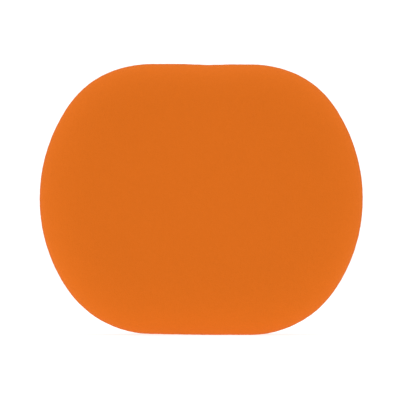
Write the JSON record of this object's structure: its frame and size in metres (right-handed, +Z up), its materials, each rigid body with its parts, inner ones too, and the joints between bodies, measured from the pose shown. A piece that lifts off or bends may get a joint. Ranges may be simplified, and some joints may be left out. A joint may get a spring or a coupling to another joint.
{
  "type": "polishing pad",
  "caption": "Oval foam hand polishing pad with a round-edged soft working face, a firm foam backer and a hook-and-loop backing, standing on its lower flat.",
  "frame": {"origin": "bottom centre of the pad's box: on the lower flat it stands on, midway across its width and its thickness", "axes": "+X across the width, +Y out of the hook-and-loop back (the working face looks along -Y), +Z up from the lower flat to the upper flat"},
  "size_m": [0.12, 0.032, 0.1006],
  "materials": {
    "polishing_foam": "matte",
    "hot_melt": "satin",
    "support_foam": "matte",
    "loop_cloth": "matte"
  },
  "bodies": {
    "root": {"polishing_foam": "polishing_foam", "foam_bond": "hot_melt", "support_foam": "support_foam", "backing_bond": "hot_melt", "loop_backing": "loop_cloth"}
  },
  "joints": []
}
